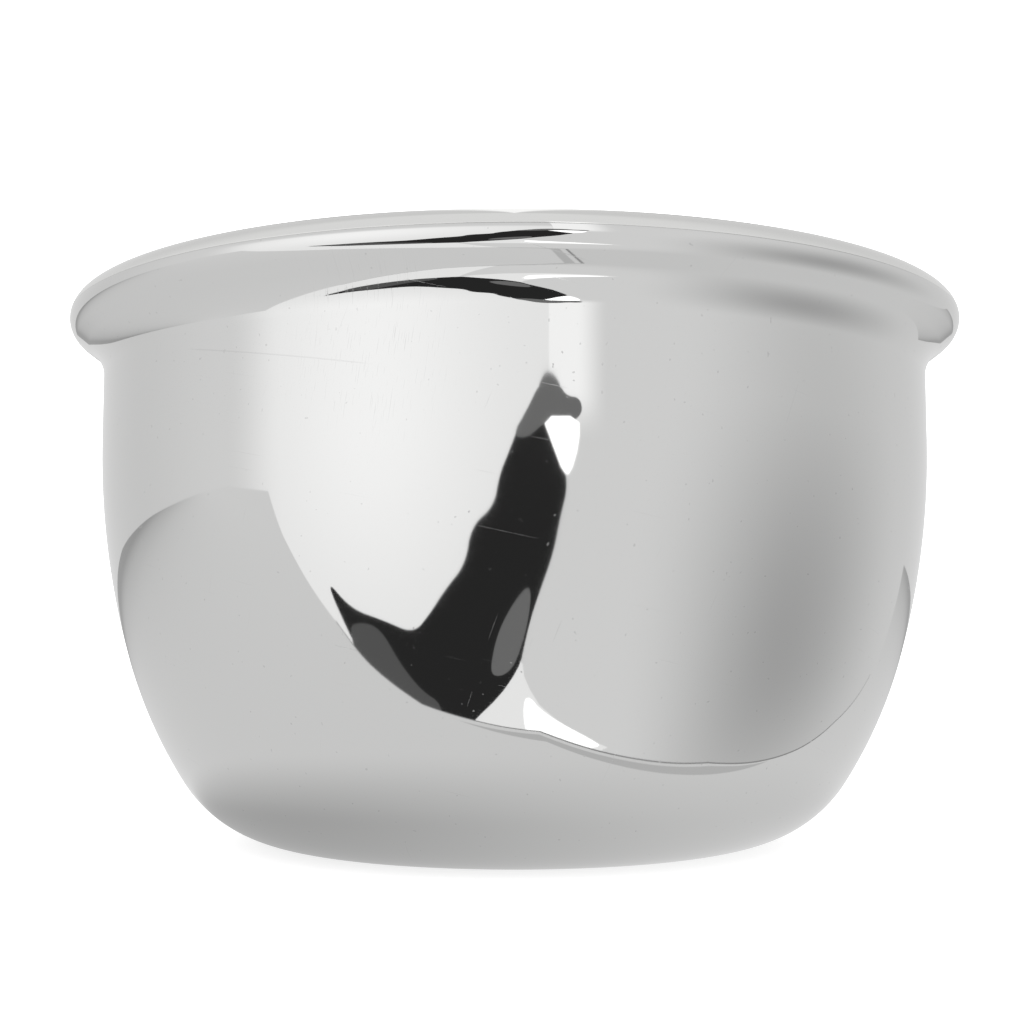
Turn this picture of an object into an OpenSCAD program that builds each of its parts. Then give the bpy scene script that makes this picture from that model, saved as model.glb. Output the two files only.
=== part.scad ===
// Double-walled metal shaving bowl, free standing, without a handle.
// The inner bowl and the outer shell are pressed sheet. Each one curls half-way
// round a stiffening wire at the rim, and their edges meet in a seam on the
// outside of the bead. A pressed plate closes the opening in the shell's base.
//
// The origin is the middle of the base, on the surface that the bowl stands on,
// and +Z is the axis of revolution. Lengths are in millimetres.

/* [Bowl] */
// Outside diameter over the rolled rim
rim_d = 100; // [98:0.5:104]
// Diameter of the upright part of the outer wall
body_d = 92.6; // [90:0.1:94]
// Height from the standing ring to the top of the rim
bowl_h = 59; // [57:0.5:75]
// Thickness of the pressed sheet
sheet_t = 0.8; // [0.5:0.1:1]

/* [Rim] */
// Diameter of the rolled bead, over the sheet
bead_d = 4.2; // [3.8:0.1:4.6]
// Length of the straight stretch of the flare, between the neck and the bead
flare_l = 1.5; // [0.5:0.1:2.5]
// Place of the seam on the bead, in degrees above its widest line
seam_a = 10; // [-20:1:40]

/* [Outer shell] */
// Radius of the wall's profile, upper stretch
wall_r_upper = 85; // [75:1:92]
// Radius of the wall's profile, lower stretch
wall_r_lower = 51; // [46:1:56]
// Radius of the bottom corner
wall_r_corner = 15; // [12:0.5:17]

/* [Inner bowl] */
// Depth from the top of the rim to the floor of the bowl
well_depth = 52; // [50:0.5:53]
// Radius of the wall's profile, upper stretch
well_r_upper = 70; // [60:1:76]
// Radius of the wall's profile, lower stretch
well_r_lower = 42; // [38:1:46]
// Radius of the bottom corner
well_r_corner = 20; // [16:0.5:22]

/* [Base] */
// Diameter of the opening in the base of the outer shell
base_hole_d = 38; // [30:0.5:42]
// Height of the turned-up edges that hold the base plate
base_edge_h = 4; // [3.2:0.1:4.2]
// How far the base plate lies above the standing ring
base_recess = 1; // [0.6:0.1:1.2]
// Outside radius of the bends in the base
base_bend_r = 1.2; // [1.1:0.1:1.4]

/* [Hidden] */
$fn = 240;

// Directions in a profile, as [radius, height]. Those on a slope are whole-number
// triangles (7-24-25 and 3-4-5), so that the ends of neighbouring arcs meet exactly.
OUT = [1, 0];
IN = [-1, 0];
DOWN = [0, -1];
UPPER_END = [0.96, -0.28];
LOWER_END = [0.8432, -0.5376];
NECK_END = [0.6, -0.8];
UP_FLARE = [0.8, 0.6];

bead_r = bead_d / 2;
wire_r = bead_r - sheet_t;
bead_c = [rim_d / 2 - bead_r, bowl_h - bead_r];
seam_dir = [cos(seam_a), sin(seam_a)];

// The neck is the hollow under the flare. Its radius follows from the wall below it.
wall_r = body_d / 2;
flare_start = bead_c + bead_r * NECK_END - flare_l * UP_FLARE;
neck_r = (flare_start.x - wall_r) / (1 - NECK_END.x);
neck_c = flare_start + neck_r * NECK_END;

// Outside radius of the inner bowl's upright wall
well_r = wall_r - bead_d + sheet_t;

// Centres of a wall's three arcs, as [upper, lower, corner]. Outside, the wall is
// upright at radius r and level at height z.
function arc_centres(r, z, radii) =
    let(
        upper_to_lower = (radii[0] - radii[1]) * UPPER_END,
        lower_to_corner = (radii[1] - radii[2]) * LOWER_END,
        corner_x = r - radii[0] + upper_to_lower.x + lower_to_corner.x,
        corner = [corner_x, z + radii[2]],
        lower = corner - lower_to_corner
    )
    [lower - upper_to_lower, lower, corner];

// Cross-section of sheet bent round the point c, from the direction d0
// anticlockwise to d1, with the radius r on its inner face. Up to 120 degrees.
module bend(c, r, d0, d1) {
    reach = 1.25 * (r + sheet_t);
    translate(c)
        intersection() {
            difference() {
                circle(r + sheet_t);
                circle(r);
            }
            polygon([[0, 0], reach * d0, reach * (d0 + d1), reach * d1]);
        }
}

// Cross-section of the straight stretch of the flare, up to the bead. The sheet's
// lower face is at the height h over the bead's centre, square to the flare.
module flare(h) {
    along = flare_l * UP_FLARE;
    across = -sheet_t * NECK_END;
    translate(bead_c - h * NECK_END - along)
        polygon([[0, 0], along, along + across, across]);
}

// Cross-section of a wall that is upright at radius r and level at height z, both
// outside. It runs up to the neck, and over the floor as far in as the radius floor_r.
module pressed_wall(r, z, radii, floor_r) {
    c = arc_centres(r, z, radii);
    translate([floor_r, z])
        square([c[2].x - floor_r, sheet_t]);
    bend(c[2], radii[2] - sheet_t, DOWN, LOWER_END);
    bend(c[1], radii[1] - sheet_t, LOWER_END, UPPER_END);
    bend(c[0], radii[0] - sheet_t, UPPER_END, OUT);
    translate([r - sheet_t, c[0].y])
        square([sheet_t, neck_c.y - c[0].y]);
}

module inner_bowl() {
    radii = [well_r_upper, well_r_lower, well_r_corner];
    color("gainsboro")
        rotate_extrude() {
            pressed_wall(well_r, bowl_h - well_depth - sheet_t, radii, 0);
            bend(neck_c, neck_r + bead_d - sheet_t, -NECK_END, IN);
            flare(wire_r);
            bend(bead_c, wire_r, seam_dir, -NECK_END);
        }
}

module outer_shell() {
    radii = [wall_r_upper, wall_r_lower, wall_r_corner];
    bend_c = [base_hole_d / 2 + base_bend_r, base_bend_r];
    color("silver")
        rotate_extrude() {
            bend(bead_c, wire_r, NECK_END, seam_dir);
            flare(-bead_r);
            bend(neck_c, neck_r, -NECK_END, IN);
            pressed_wall(wall_r, 0, radii, bend_c.x);
            bend(bend_c, base_bend_r - sheet_t, IN, DOWN);
            translate([base_hole_d / 2, bend_c.y])
                square([sheet_t, base_edge_h - bend_c.y]);
        }
}

module rim_wire() {
    color("darkgray")
        rotate_extrude()
            translate(bead_c)
                circle(wire_r);
}

module base_plate() {
    bend_c = [base_hole_d / 2 - base_bend_r, base_recess + base_bend_r];
    color("lightgray")
        rotate_extrude() {
            translate([0, base_recess])
                square([bend_c.x, sheet_t]);
            bend(bend_c, base_bend_r - sheet_t, DOWN, OUT);
            translate([base_hole_d / 2 - sheet_t, bend_c.y])
                square([sheet_t, base_edge_h - bend_c.y]);
        }
}

inner_bowl();
outer_shell();
rim_wire();
base_plate();
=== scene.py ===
"""Looks of the shaving bowl: polished metal on a pale table, in soft studio light.

Everything is in metres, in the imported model's frame: +Z is the bowl's axis and the
bowl stands on z = 0. The camera is in front of the bowl, on the -Y side.
"""

from math import ceil, cos, degrees, hypot, pi, radians, sin

import bmesh
import bpy
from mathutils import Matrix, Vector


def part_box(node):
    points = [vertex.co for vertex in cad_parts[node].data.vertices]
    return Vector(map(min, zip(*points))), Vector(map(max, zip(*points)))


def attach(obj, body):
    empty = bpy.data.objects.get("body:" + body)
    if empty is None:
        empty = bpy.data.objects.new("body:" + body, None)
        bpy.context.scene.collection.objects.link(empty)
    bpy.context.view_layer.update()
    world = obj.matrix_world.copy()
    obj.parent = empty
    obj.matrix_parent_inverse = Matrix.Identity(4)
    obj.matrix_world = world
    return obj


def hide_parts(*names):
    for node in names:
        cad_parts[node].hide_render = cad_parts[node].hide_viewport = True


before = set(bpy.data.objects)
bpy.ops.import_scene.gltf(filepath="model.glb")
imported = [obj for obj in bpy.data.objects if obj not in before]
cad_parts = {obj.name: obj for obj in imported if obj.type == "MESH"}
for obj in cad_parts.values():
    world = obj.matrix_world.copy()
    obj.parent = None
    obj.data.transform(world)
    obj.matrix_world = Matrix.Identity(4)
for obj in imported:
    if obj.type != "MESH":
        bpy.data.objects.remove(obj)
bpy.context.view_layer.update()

MM = 0.001
scene = bpy.context.scene
scene.view_settings.view_transform = "Standard"

# ---------------------------------------------------------------- camera

CAMERA_BACK = 175 * MM      # from the bowl's axis
CAMERA_HEIGHT = 21.9 * MM   # over the table
CAMERA_PITCH = radians(4.96)
CAMERA_SIDE = -0.29 * MM
LENS = 53.26                # on a sensor 36 mm wide

camera = bpy.data.objects.new("camera", bpy.data.cameras.new("camera"))
scene.collection.objects.link(camera)
scene.camera = camera
camera.data.sensor_width = 36
camera.data.lens = LENS
camera.data.clip_start = 10 * MM
camera.location = (CAMERA_SIDE, -CAMERA_BACK, CAMERA_HEIGHT)
camera.rotation_euler = (pi / 2 + CAMERA_PITCH, 0, 0)


# ---------------------------------------------------------------- node helpers

class Nodes:
    """A node tree, with short ways to add nodes and their links."""

    def __init__(self, tree):
        self.tree = tree
        tree.nodes.clear()

    def put(self, socket, value):
        """Links value to the socket if it is an output, and otherwise sets it."""
        if isinstance(value, bpy.types.NodeSocket):
            self.tree.links.new(value, socket)
        else:
            socket.default_value = value

    def add(self, kind, settings=None, inputs=None):
        """A node with its settings, and its inputs by name or number."""
        node = self.tree.nodes.new(kind)
        for name, value in (settings or {}).items():
            setattr(node, name, value)
        for key, value in (inputs or {}).items():
            self.put(node.inputs[key], value)
        return node

    def math(self, operation, *values):
        node = self.add("ShaderNodeMath", {"operation": operation}, dict(enumerate(values)))
        return node.outputs[0]

    def ramp(self, value, low, high, out_low=0.0, out_high=1.0):
        """value from low..high to out_low..out_high, eased at both ends and clamped."""
        inputs = dict(enumerate((value, low, high, out_low, out_high)))
        return self.add("ShaderNodeMapRange", {"interpolation_type": "SMOOTHSTEP"}, inputs).outputs[0]

    def vector(self, x, y, z):
        return self.add("ShaderNodeCombineXYZ", None, {0: x, 1: y, 2: z}).outputs[0]

    def noise(self, vector, scale, detail=2.0, roughness=0.5):
        inputs = {"Vector": vector, "Scale": scale, "Detail": detail, "Roughness": roughness}
        return self.add("ShaderNodeTexNoise", None, inputs).outputs["Fac"]


def new_material(name):
    """An empty material, and its nodes."""
    material = bpy.data.materials.new(name)
    material.use_nodes = True
    return material, Nodes(material.node_tree)


def object_position(nodes):
    """Where a point is on its object, as x, y and z in metres."""
    position = nodes.add("ShaderNodeTexCoord").outputs["Object"]
    return nodes.add("ShaderNodeSeparateXYZ", None, {0: position}).outputs


def length_of(nodes, x, y):
    """The length of the vector x, y."""
    squares = nodes.math("ADD", nodes.math("MULTIPLY", x, x), nodes.math("MULTIPLY", y, y))
    return nodes.math("SQRT", squares)


# ---------------------------------------------------------------- light

WHITE = 1.9                 # brightness of the plain white that all but the metal sees


def azimuth_and_elevation(nodes, direction):
    """Degrees round from the camera's side (+X is +90) and up from level."""
    split = nodes.add("ShaderNodeSeparateXYZ", None, {0: direction})
    x, y, z = split.outputs
    azimuth = nodes.math("ARCTAN2", x, nodes.math("MULTIPLY", y, -1.0))
    elevation = nodes.math("ARCSINE", z)
    return nodes.math("DEGREES", azimuth), nodes.math("DEGREES", elevation)


def lobe(nodes, azimuth, elevation, centre, half_size):
    """1 at the centre direction, fading to 0 at half_size away, all in degrees."""
    across = nodes.math("DIVIDE", nodes.math("SUBTRACT", azimuth, centre[0]), half_size[0])
    up = nodes.math("DIVIDE", nodes.math("SUBTRACT", elevation, centre[1]), half_size[1])
    return nodes.ramp(length_of(nodes, across, up), 0.0, 1.0, 1.0, 0.0)


def room(nodes, azimuth, elevation):
    """Pale walls, a little darker on the right and behind, under a darker ceiling."""
    front_level, back_level = 0.90, 0.78
    right_drop, ceiling_drop = 0.12, 0.05
    walls = nodes.ramp(azimuth, -125, -75, back_level, front_level)
    right_wall = nodes.ramp(azimuth, 40, 120, 0.0, -right_drop)
    ceiling = nodes.ramp(elevation, 18, 45, 0.0, -ceiling_drop)
    return nodes.math("ADD", nodes.math("ADD", walls, right_wall), ceiling)


def screen(nodes, azimuth, elevation):
    """A bright screen on the left. Its right end leans, and its middle is the brightest."""
    screen_rise, middle_rise = 0.24, 0.18
    right_end = nodes.ramp(elevation, -45, 0, -20, 8.7)
    from_left = nodes.ramp(azimuth, -80, -62)
    to_right = nodes.ramp(nodes.math("SUBTRACT", azimuth, right_end), 0.0, 0.2, 1.0, 0.0)
    below_top = nodes.ramp(elevation, 13, 24, 1.0, 0.0)
    on_screen = nodes.math("MULTIPLY", nodes.math("MULTIPLY", from_left, to_right), below_top)
    middle = lobe(nodes, azimuth, elevation, (-36, 6), (44, 44))
    light = nodes.math("ADD", screen_rise, nodes.math("MULTIPLY", middle, middle_rise))
    return nodes.math("MULTIPLY", on_screen, light)


def back_band(nodes, azimuth, elevation):
    """A dark band on each side of the back wall's middle, and light between the two."""
    dark_drop, light_rise = 0.38, 0.45
    from_front = nodes.math("ABSOLUTE", azimuth)
    below_ceiling = nodes.ramp(elevation, 20, 50, 1.0, 0.0)
    dark = nodes.math("MULTIPLY", nodes.ramp(from_front, 159, 168, 0.0, dark_drop), below_ceiling)
    light = nodes.ramp(from_front, 170, 177, 0.0, light_rise)
    return nodes.math("SUBTRACT", light, dark)


def right_shade(nodes, azimuth, elevation):
    """A soft shade, low on the right."""
    drop = 0.34
    return nodes.math("MULTIPLY", lobe(nodes, azimuth, elevation, (80, -21), (51, 50)), drop)


def background(nodes, strength):
    """A white background shader."""
    shader = nodes.add("ShaderNodeBackground", None, {"Strength": strength})
    shader.inputs["Color"].default_value = (1, 1, 1, 1)
    return shader.outputs[0]


def studio():
    """Plain white for the camera and for soft light. The metal mirrors a pale room."""
    world = bpy.data.worlds.new("studio")
    scene.world = world
    world.use_nodes = True
    nodes = Nodes(world.node_tree)
    direction = nodes.add("ShaderNodeTexCoord").outputs["Generated"]
    azimuth, elevation = azimuth_and_elevation(nodes, direction)
    level = room(nodes, azimuth, elevation)
    level = nodes.math("ADD", level, screen(nodes, azimuth, elevation))
    level = nodes.math("ADD", level, back_band(nodes, azimuth, elevation))
    level = nodes.math("SUBTRACT", level, right_shade(nodes, azimuth, elevation))
    in_the_metal = nodes.add("ShaderNodeLightPath").outputs["Is Glossy Ray"]
    inputs = {0: in_the_metal, 1: background(nodes, WHITE), 2: background(nodes, level)}
    mix = nodes.add("ShaderNodeMixShader", None, inputs)
    nodes.add("ShaderNodeOutputWorld", None, {"Surface": mix.outputs[0]})


studio()

overhead = bpy.data.objects.new("overhead", bpy.data.lights.new("overhead", "AREA"))
scene.collection.objects.link(overhead)
overhead.data.size = 0.9
overhead.data.energy = 1
overhead.location = (0, 0.1, 1.0)
overhead.visible_camera = False
overhead.visible_glossy = False


# ---------------------------------------------------------------- stage

def link_mesh(name, vertices, faces, material):
    """A mesh object in the scene."""
    mesh = bpy.data.meshes.new(name)
    mesh.from_pydata(vertices, [], faces)
    mesh.materials.append(material)
    piece = bpy.data.objects.new(name, mesh)
    scene.collection.objects.link(piece)
    return piece


def floor_paint():
    """Pale paint, lit from below as well, which keeps the bowl's shadow faint."""
    shade, lit = 0.45, 0.72
    material, nodes = new_material("floor_paint")
    paint = nodes.add("ShaderNodeBsdfPrincipled")
    paint.inputs["Base Color"].default_value = (shade, shade, shade, 1)
    paint.inputs["Roughness"].default_value = 1.0
    paint.inputs["Specular IOR Level"].default_value = 0.0
    paint.inputs["Emission Color"].default_value = (1, 1, 1, 1)
    paint.inputs["Emission Strength"].default_value = lit
    nodes.add("ShaderNodeOutputMaterial", None, {"Surface": paint.outputs[0]})
    return material


def glow(name, level):
    """Light that is as bright as level, a number or a function that makes it of nodes."""
    material, nodes = new_material(name)
    strength = level(nodes) if callable(level) else level
    emission = nodes.add("ShaderNodeEmission", None, {"Strength": strength})
    nodes.add("ShaderNodeOutputMaterial", None, {"Surface": emission.outputs[0]})
    return material


def table_glow_with_painted_shadow(nodes):
    """The table's brightness in the metal, painted light that glows as the lit table would: less to the
    back, with a painted shadow round the bowl's foot.
    """
    x, y, _ = object_position(nodes)
    # Painted shadow of the bowl on the table: darker round its foot, most on the left.
    under_the_bowl = nodes.ramp(length_of(nodes, x, y), 35 * MM, 49 * MM, 1.0, 0.0)
    painted_shadow = nodes.math("MULTIPLY", under_the_bowl, nodes.ramp(x, -30 * MM, 30 * MM, 0.40, 0.08))
    near = nodes.ramp(y, -150 * MM, 250 * MM, 0.87, 0.68)
    open_table = nodes.math("SUBTRACT", near, nodes.ramp(y, 80 * MM, 700 * MM, 0.0, 0.26))
    return nodes.math("MULTIPLY", open_table, nodes.math("SUBTRACT", 1.0, painted_shadow))


def fading_strip(nodes):
    """The brightness of a strip that fades out to its right and towards its foot."""
    low, rise = 0.90, 0.40
    x, _, z = object_position(nodes)
    to_the_right = nodes.ramp(x, 48 * MM, 76 * MM, 1.0, 0.0)
    to_the_foot = nodes.ramp(z, 42 * MM, 72 * MM)
    fade = nodes.math("MULTIPLY", to_the_right, to_the_foot)
    return nodes.math("ADD", low, nodes.math("MULTIPLY", fade, rise))


def mirrored_shape(name, vertices, level):
    """A flat shape that is seen only in the metal."""
    shape = link_mesh(name, vertices, [tuple(range(len(vertices)))], glow(name, level))
    shape.visible_camera = False
    shape.visible_diffuse = False
    shape.visible_shadow = False
    return shape


FLOOR_HALF = 2.0            # half the floor's width
TABLE_DROP = 0.01 * MM      # keeps the mirrored table off the standing ring
FLOOR_DROP = 2 * TABLE_DROP

# The table that the metal mirrors, in millimetres from above. Its front edge runs close
# in front of the bowl. The near edge's points are another program's output, rounded: it
# followed the edge in the photo's reflection down to the table.
TABLE_EDGE = [
    (-600, -290), (-194, -127), (-60, -76), (-18, -57), (4, -52.5), (28, -37), (60, -9), (100, 30),
    (600, 550), (600, 1500), (-1500, 1500), (-1500, -290),
]

sides = [(-FLOOR_HALF, -FLOOR_HALF), (FLOOR_HALF, -FLOOR_HALF)]
sides += [(FLOOR_HALF, FLOOR_HALF), (-FLOOR_HALF, FLOOR_HALF)]
floor_top = [(x, y, -FLOOR_DROP) for x, y in sides]
floor = link_mesh("floor", floor_top, [(0, 1, 2, 3)], floor_paint())
floor.visible_glossy = False
# The mirrored table glows with painted light, and with a painted shadow round the bowl's foot.
table_top = [(x * MM, y * MM, -TABLE_DROP) for x, y in TABLE_EDGE]
table = mirrored_shape("table", table_top, table_glow_with_painted_shadow)


def on_table(name, outline, level):
    """A flat shape on the table, or a thin line beyond its edge, seen only in the metal."""
    shape = mirrored_shape(name, [(x * MM, y * MM, 0) for x, y in outline], level)


EDGE_LINE = 0.2             # width of the dark line along the table's edge, in millimetres
near_edge = TABLE_EDGE[2:8]
beyond_edge = [(x + EDGE_LINE, y - EDGE_LINE) for x, y in reversed(near_edge)]
on_table("edge_line", near_edge + beyond_edge, 0.35)
edge_shade = [(-10, -54.5), (4, -51.9), (28, -36.4), (38, -28), (27, -35.2), (5, -50.3)]
on_table("edge_shade", edge_shade, 0.62)


def smooth_outline(points, rounds):
    """Cuts the corners of a closed outline again and again, which rounds it."""
    for _ in range(rounds):
        cut = []
        for (x0, y0), (x1, y1) in zip(points, points[1:] + points[:1]):
            cut.append((0.75 * x0 + 0.25 * x1, 0.75 * y0 + 0.25 * y1))
            cut.append((0.25 * x0 + 0.75 * x1, 0.25 * y0 + 0.75 * y1))
        points = cut
    return points


CARDS_BACK = 200 * MM       # from the bowl's axis to the cards
CARD_GAP = 0.5 * MM         # between one layer of cards and the next


def card(name, outline, level, layer=0, rounds=3):
    """An upright card in front of the bowl, seen only in the metal. Its outline is in
    millimetres, across and up from the middle of the bowl's base."""
    y = -CARDS_BACK + layer * CARD_GAP
    vertices = [(x * MM, y, z * MM) for x, z in smooth_outline(outline, rounds)]
    piece = mirrored_shape(name, vertices, level)


# These outlines are another program's output too, rounded and then adjusted: it
# carried points picked on the photo's reflections over to the plane of the cards. The
# dark one is probably the photographer's outline. The card() calls below can be deleted,
# and only the picture that the metal mirrors changes.
dark_flag = [
    (4, 52), (24, 55), (34, 38), (42, 22), (36, 4), (31, -14), (20, -38), (11, -60), (4, -85),
    (-2, -118), (-22, -148), (-60, -185), (-110, -165), (-165, -130), (-190, -90), (-222, -50),
    (-180, -66), (-130, -66), (-96, -70), (-76, -54), (-60, -38), (-40, -22), (-34, 0),
    (-16, 10), (-12, 26), (-4, 38),
]
grey_flag = [
    (-192, -84), (-164, -73), (-138, -73), (-120, -94), (-98, -126), (-78, -138), (-84, -180),
    (-130, -160), (-180, -118),
]
narrow_flag = [(14, -30), (12, -55), (-4, -92), (-24, -96), (-18, -66), (0, -40)]
small_grey = [
    (23, 72), (34, 71), (40, 66), (51, 66), (53, 57), (40, 51), (24, 53), (10, 44), (-2, 45),
    (9, 58), (16, 68),
]
small_white = [(20, 55), (50, 56), (50, 42), (43, 26), (37, 27), (29, 40)]
low_pale = [
    (-62, -188), (-40, -152), (-16, -120), (2, -88), (6, -78), (9, -100), (30, -142), (95, -208),
    (140, -250), (0, -250),
]
low_white = [(10, -112), (30, -144), (100, -210), (120, -236), (20, -205), (8, -150)]
strip = [(26.5, 190), (26.5, 40), (78, 40), (78, 190)]

card("dark_flag", dark_flag, level=0.027)
card("grey_flag", grey_flag, level=0.12, layer=1, rounds=2)
card("narrow_flag", narrow_flag, level=0.2, layer=1)
card("small_grey", small_grey, level=0.2, layer=2, rounds=2)
card("small_white", small_white, level=2.0, layer=3, rounds=1)
card("low_pale", low_pale, level=1.15, layer=1, rounds=1)
card("low_white", low_white, level=1.8, layer=2, rounds=2)
card("strip", strip, level=fading_strip, layer=-1, rounds=0)


# ---------------------------------------------------------------- profiles

RIM_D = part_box("outer_shell")[1].x * 2
BOWL_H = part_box("inner_bowl")[1].z
BODY_D = 92.6 * MM
SHEET_T = 0.8 * MM
BEAD_D = 4.2 * MM
FLARE_L = 1.5 * MM
SEAM_A = 10
WALL_RADII = (85 * MM, 51 * MM, 15 * MM)
WELL_RADII = (70 * MM, 42 * MM, 20 * MM)
WELL_DEPTH = 52 * MM
BASE_HOLE_D = 38 * MM
BASE_EDGE_H = 4 * MM
BASE_RECESS = 1 * MM
BASE_BEND_R = 1.2 * MM

EDGE_R = 0.06 * MM          # rounding of the sheet's cut edges
EDGE_STEPS = 4              # stretches round a cut edge
SHARP = 50                  # degrees of turn that make a corner a cut edge
TINY = 1e-7                 # points nearer than this are the same point

# Directions where one arc of a wall hands over to the next, in degrees from level
UPPER_A = -16.26
LOWER_A = -32.52
NECK_A = -53.13

SEGMENTS = 360              # round the axis
BACK_STEP = 3               # of the points on a sheet's hidden back, one in this many is kept
ARC_STEP = 2.5              # degrees between points on a small arc
ARC_CHORD = 1 * MM          # length between points on a large arc


def polar(angle, length):
    """The step of that length towards the angle."""
    return (length * cos(radians(angle)), length * sin(radians(angle)))


def shifted(point, offset, times=1):
    """The point, moved by the offset that many times."""
    return (point[0] + times * offset[0], point[1] + times * offset[1])


BEAD_R = BEAD_D / 2
WIRE_R = BEAD_R - SHEET_T
BEAD_C = (RIM_D / 2 - BEAD_R, BOWL_H - BEAD_R)
WALL_R = BODY_D / 2
FLARE_END = shifted(BEAD_C, polar(NECK_A, BEAD_R))
FLARE_START = shifted(FLARE_END, polar(NECK_A + 90, FLARE_L), -1)
NECK_R = (FLARE_START[0] - WALL_R) / (1 - cos(radians(NECK_A)))
NECK_C = shifted(FLARE_START, polar(NECK_A, NECK_R))
WELL_R = WALL_R - BEAD_D + SHEET_T


def arc(centre, radius, start, end):
    """Points round the centre, from the angle start to the angle end."""
    step = min(ARC_STEP, degrees(ARC_CHORD / radius))
    count = ceil(abs(end - start) / step)
    angles = [start + (end - start) * i / count for i in range(count + 1)]
    return [shifted(centre, polar(a, radius)) for a in angles]


def wall_arcs(r, z, radii, face, back):
    """The three bends of a wall that is upright at the outside radius r and level at the
    outside height z. face and back are added to each outside radius."""
    upper_r, lower_r, corner_r = radii
    upper_to_lower = polar(UPPER_A, upper_r - lower_r)
    lower_to_corner = polar(LOWER_A, lower_r - corner_r)
    corner = (r - upper_r + upper_to_lower[0] + lower_to_corner[0], z + corner_r)
    lower = shifted(corner, lower_to_corner, -1)
    upper = shifted(lower, upper_to_lower, -1)
    return [
        (upper, upper_r + face, upper_r + back, 0, UPPER_A),
        (lower, lower_r + face, lower_r + back, UPPER_A, LOWER_A),
        (corner, corner_r + face, corner_r + back, LOWER_A, -90),
    ]


def sheet(bends, face_end, back_end):
    """Outline of bent sheet: out along its face, and home along its back. A bend is its
    centre, the radius of each side, and the angles where it starts and ends."""
    face, back = [], []
    for centre, face_r, back_r, start, end in bends:
        face += arc(centre, face_r, start, end)
        back_arc = arc(centre, back_r, start, end)
        back += back_arc[::BACK_STEP] + back_arc[-1:]
    return face + [face_end, back_end] + back[::-1]


def soften(outline):
    """Rounds the cut edges in a closed outline, each as a curve that starts and ends a
    little way from the corner."""
    soft = []
    for before, point, after in zip(outline[-1:] + outline, outline, outline[1:] + outline[:1]):
        to_before = (before[0] - point[0], before[1] - point[1])
        to_after = (after[0] - point[0], after[1] - point[1])
        length_b, length_a = hypot(*to_before), hypot(*to_after)
        if min(length_a, length_b) < TINY or point[0] < TINY:
            soft.append(point)
            continue
        turn = (to_before[0] * to_after[0] + to_before[1] * to_after[1]) / (length_a * length_b)
        if turn < -cos(radians(SHARP)):
            soft.append(point)
            continue
        first = shifted(point, to_before, min(EDGE_R / length_b, 0.45))
        last = shifted(point, to_after, min(EDGE_R / length_a, 0.45))
        for i in range(EDGE_STEPS + 1):
            t = i / EDGE_STEPS
            a, b, c = (1 - t) ** 2, 2 * t * (1 - t), t * t
            soft.append(tuple(a * first[k] + b * point[k] + c * last[k] for k in (0, 1)))
    return soft


def without_repeats(outline):
    """The outline, with one point where neighbours are the same."""
    kept = []
    for point in outline:
        if not kept or hypot(point[0] - kept[-1][0], point[1] - kept[-1][1]) > TINY:
            kept.append(point)
    return kept


def revolve(name, outline, material, node):
    """The piece for a CAD node: a closed outline, softened and turned round the axis."""
    vertices, rings = [], []
    for r, z in soften(without_repeats(outline)):
        turns = 1 if r < TINY else SEGMENTS
        rings.append([len(vertices) + i % turns for i in range(SEGMENTS)])
        for i in range(turns):
            a = 2 * pi * i / SEGMENTS
            vertices.append((r * cos(a), r * sin(a), z))
    faces = []
    for low, high in zip(rings, rings[1:] + rings[:1]):
        if low[0] == low[1] and high[0] == high[1]:
            continue
        for i in range(SEGMENTS):
            j = (i + 1) % SEGMENTS
            corners = [low[i], low[j], high[j], high[i]]
            faces.append(tuple(dict.fromkeys(corners)))
    piece = link_mesh(name, vertices, faces, material)
    solid = bmesh.new()
    solid.from_mesh(piece.data)
    bmesh.ops.recalc_face_normals(solid, faces=solid.faces)
    solid.to_mesh(piece.data)
    solid.free()
    piece.data.shade_smooth()
    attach(piece, "root")
    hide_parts(node)


# ---------------------------------------------------------------- materials

FRONT_R = 46.0              # millimetres, about the wall's radius


def around(nodes):
    """Where a point is on the bowl: millimetres round its front, from the axis, and up."""
    x, y, z = (nodes.math("DIVIDE", output, MM) for output in object_position(nodes))
    angle = nodes.math("ARCTAN2", x, nodes.math("MULTIPLY", y, -1.0))
    return nodes.math("MULTIPLY", angle, FRONT_R), length_of(nodes, x, y), z


def turned(nodes, x, y, angle):
    """x and y, measured along and across a line that runs at the angle."""
    c, s = cos(radians(angle)), sin(radians(angle))
    along = nodes.math("ADD", nodes.math("MULTIPLY", x, c), nodes.math("MULTIPLY", y, s))
    across = nodes.math("SUBTRACT", nodes.math("MULTIPLY", y, c), nodes.math("MULTIPLY", x, s))
    return along, across


def scratches(nodes, round_the_bowl, up, tilt, length, width, sparse):
    """Fine straight scratches that run tilt degrees from level: 1 in them, 0 between. The
    higher sparse is, from 0 to 1, the fewer there are."""
    along, across = turned(nodes, round_the_bowl, up, tilt)
    vector = nodes.vector(nodes.math("DIVIDE", along, length), nodes.math("DIVIDE", across, width), tilt)
    return nodes.ramp(nodes.noise(vector, 1.0, 1.0), sparse, sparse + 0.04)


STAIN = (0.3, 0.3, 0.3, 1)  # colour of a full stain


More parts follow.
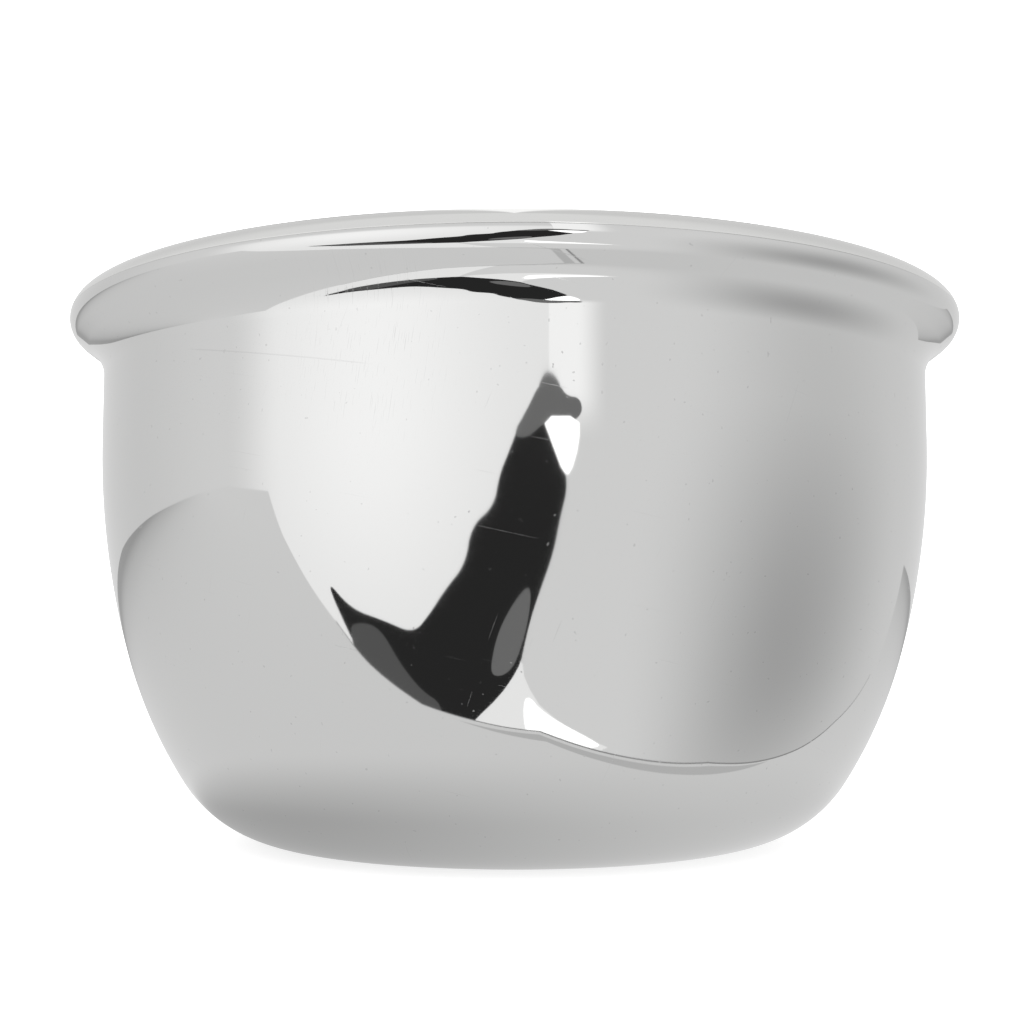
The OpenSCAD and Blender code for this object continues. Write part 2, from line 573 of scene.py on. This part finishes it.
def metal(name, colour, make_finish):
    """Bare metal. make_finish gives its roughness, its stain, which darkens the colour
    from 0 to 1, and its list of bumps, each a height from 0 to 1 and that height's depth
    in millimetres."""
    material, nodes = new_material(name)
    shader = nodes.add("ShaderNodeBsdfPrincipled")
    shader.inputs["Metallic"].default_value = 1.0
    roughness, stain, bumps = make_finish(nodes)
    mix = nodes.add("ShaderNodeMix", {"data_type": "RGBA"}, {"Factor": stain})
    mix.inputs["A"].default_value = (*colour, 1)
    mix.inputs["B"].default_value = STAIN
    nodes.put(shader.inputs["Base Color"], mix.outputs["Result"])
    nodes.put(shader.inputs["Roughness"], roughness)
    normal = None
    for height, depth in bumps:
        inputs = {"Height": height, "Strength": 1.0, "Distance": depth * MM}
        bump = nodes.add("ShaderNodeBump", None, inputs)
        if normal:
            nodes.put(bump.inputs["Normal"], normal)
        normal = bump.outputs[0]
    nodes.put(shader.inputs["Normal"], normal)
    nodes.add("ShaderNodeOutputMaterial", None, {"Surface": shader.outputs[0]})
    return material


def worn_patch(nodes, round_the_bowl, up):
    """1 in a patch left of the front under the rim, where cloths and hands have scratched it."""
    centre = (-13.0, 47.5)
    full_to, fades_to = 3.0, 11.0
    across = nodes.math("SUBTRACT", round_the_bowl, centre[0])
    over = nodes.math("SUBTRACT", up, centre[1])
    return nodes.ramp(length_of(nodes, across, over), full_to, fades_to, 1.0, 0.0)


def long_scratch(nodes, round_the_bowl, up):
    """One long, faint scratch that runs down to the right, left of the front."""
    fall, height_at_front, middle, depth = 0.157, 44.2, -23.0, 0.7
    height = nodes.math("ADD", up, nodes.math("MULTIPLY", round_the_bowl, fall))
    beside = nodes.math("ABSOLUTE", nodes.math("SUBTRACT", height, height_at_front))
    along = nodes.math("ABSOLUTE", nodes.math("SUBTRACT", round_the_bowl, middle))
    thin = nodes.ramp(beside, 0.03, 0.09, 1.0, 0.0)
    short = nodes.ramp(along, 8.0, 11.0, 1.0, 0.0)
    return nodes.math("MULTIPLY", nodes.math("MULTIPLY", thin, short), depth)


HAIRLINE = 0.07             # millimetres, the width of a fine scratch


def mirror_finish(nodes):
    """Mirror polish with a faint ripple, a few hairline scratches and specks."""
    round_the_bowl, radius, up = around(nodes)
    place = nodes.vector(round_the_bowl, radius, up)
    ripple = nodes.noise(place, 0.09, 1.0)
    cloud = nodes.noise(place, 0.05, 3.0)
    fine = scratches(nodes, round_the_bowl, up, -12, 14, HAIRLINE, 0.77)
    steep = scratches(nodes, round_the_bowl, up, 68, 9, HAIRLINE, 0.78)
    speck = nodes.ramp(nodes.noise(place, 2.6, 0.0), 0.83, 0.86)
    upright = scratches(nodes, round_the_bowl, up, 82, 3, HAIRLINE, 0.66)
    hairs = nodes.math("MULTIPLY", upright, worn_patch(nodes, round_the_bowl, up))
    marks = nodes.math("MAXIMUM", nodes.math("MAXIMUM", fine, steep), nodes.math("MAXIMUM", speck, hairs))
    marks = nodes.math("MAXIMUM", marks, long_scratch(nodes, round_the_bowl, up))
    clean = nodes.ramp(cloud, 0.35, 0.7, 0.02, 0.05)
    roughness = nodes.math("ADD", clean, nodes.math("MULTIPLY", marks, 0.12))
    return roughness, nodes.math("MULTIPLY", marks, 0.22), [(ripple, 0.03), (marks, -0.001)]


def grooves(nodes, length, scale, detail):
    """Fine marks round the bowl's axis. Length is how far they are drawn out."""
    round_the_bowl, radius, up = around(nodes)
    place = nodes.vector(nodes.math("DIVIDE", round_the_bowl, length), radius, up)
    return nodes.noise(place, scale, detail)


def satin_finish(nodes):
    """Polished lip, fading to satin with level polishing marks down in the bowl."""
    _, _, up = around(nodes)
    lines = grooves(nodes, 60.0, 6.0, 4.0)
    depth = nodes.ramp(up, 46.0, 53.0, 1.0, 0.0)
    satin = nodes.ramp(lines, 0.2, 0.8, 0.14, 0.28)
    roughness = nodes.math("ADD", 0.05, nodes.math("MULTIPLY", depth, satin))
    stain = nodes.math("MULTIPLY", nodes.ramp(lines, 0.2, 0.8, 0.10, 0.0), depth)
    return roughness, stain, [(nodes.math("MULTIPLY", lines, depth), 0.006)]


def brushed_finish(nodes):
    """Satin with circular brushing."""
    lines = grooves(nodes, 80.0, 8.0, 3.0)
    roughness = nodes.ramp(lines, 0.2, 0.8, 0.28, 0.42)
    return roughness, nodes.ramp(lines, 0.2, 0.8, 0.15, 0.0), [(lines, 0.01)]


def drawn_finish(nodes):
    """Drawn wire: fine grooves along its length."""
    lines = grooves(nodes, 90.0, 7.0, 2.0)
    roughness = nodes.ramp(lines, 0.2, 0.8, 0.3, 0.45)
    return roughness, nodes.ramp(lines, 0.2, 0.8, 0.15, 0.0), [(lines, 0.01)]


# ---------------------------------------------------------------- the bowl

def outer_shell():
    """Polished shell, from the seam on the bead down to the turned-up edge in its base."""
    bend_c = (BASE_HOLE_D / 2 + BASE_BEND_R, BASE_BEND_R)
    bends = [
        (BEAD_C, BEAD_R, WIRE_R, SEAM_A, NECK_A),
        (NECK_C, NECK_R, NECK_R + SHEET_T, NECK_A + 180, 180),
        *wall_arcs(WALL_R, 0, WALL_RADII, 0, -SHEET_T),
        (bend_c, BASE_BEND_R, BASE_BEND_R - SHEET_T, 270, 180),
    ]
    edge_r = BASE_HOLE_D / 2
    return sheet(bends, (edge_r, BASE_EDGE_H), (edge_r + SHEET_T, BASE_EDGE_H))


def inner_bowl():
    """Inner bowl, from the seam over the bead and down to the middle of its floor."""
    floor_z = BOWL_H - WELL_DEPTH
    bends = [
        (BEAD_C, BEAD_R, WIRE_R, SEAM_A, NECK_A + 180),
        (NECK_C, NECK_R + BEAD_D, NECK_R + BEAD_D - SHEET_T, NECK_A + 180, 180),
        *wall_arcs(WELL_R, floor_z - SHEET_T, WELL_RADII, -SHEET_T, 0),
    ]
    return sheet(bends, (0, floor_z), (0, floor_z - SHEET_T))


def base_plate():
    """Plate pressed into the opening of the base, its rim turned up."""
    bend_c = (BASE_HOLE_D / 2 - BASE_BEND_R, BASE_RECESS + BASE_BEND_R)
    edge_r = BASE_HOLE_D / 2
    face = [(0, BASE_RECESS)] + arc(bend_c, BASE_BEND_R, -90, 0) + [(edge_r, BASE_EDGE_H)]
    back = arc(bend_c, BASE_BEND_R - SHEET_T, 0, -90) + [(0, BASE_RECESS + SHEET_T)]
    return face + [(edge_r - SHEET_T, BASE_EDGE_H)] + back


CHROME = (0.67, 0.67, 0.665)
INSIDE_STEEL = (0.78, 0.78, 0.77)
BASE_STEEL = (0.6, 0.6, 0.59)
WIRE_STEEL = (0.55, 0.55, 0.54)

polished = metal("polished", CHROME, mirror_finish)
inside = metal("inside", INSIDE_STEEL, satin_finish)
base = metal("base", BASE_STEEL, brushed_finish)
revolve("shell_polished", outer_shell(), polished, "outer_shell")
revolve("bowl_inside", inner_bowl(), inside, "inner_bowl")
revolve("base_disc", base_plate(), base, "base_plate")

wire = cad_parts["rim_wire"]
wire.data.materials.clear()
wire.data.materials.append(metal("wire", WIRE_STEEL, drawn_finish))
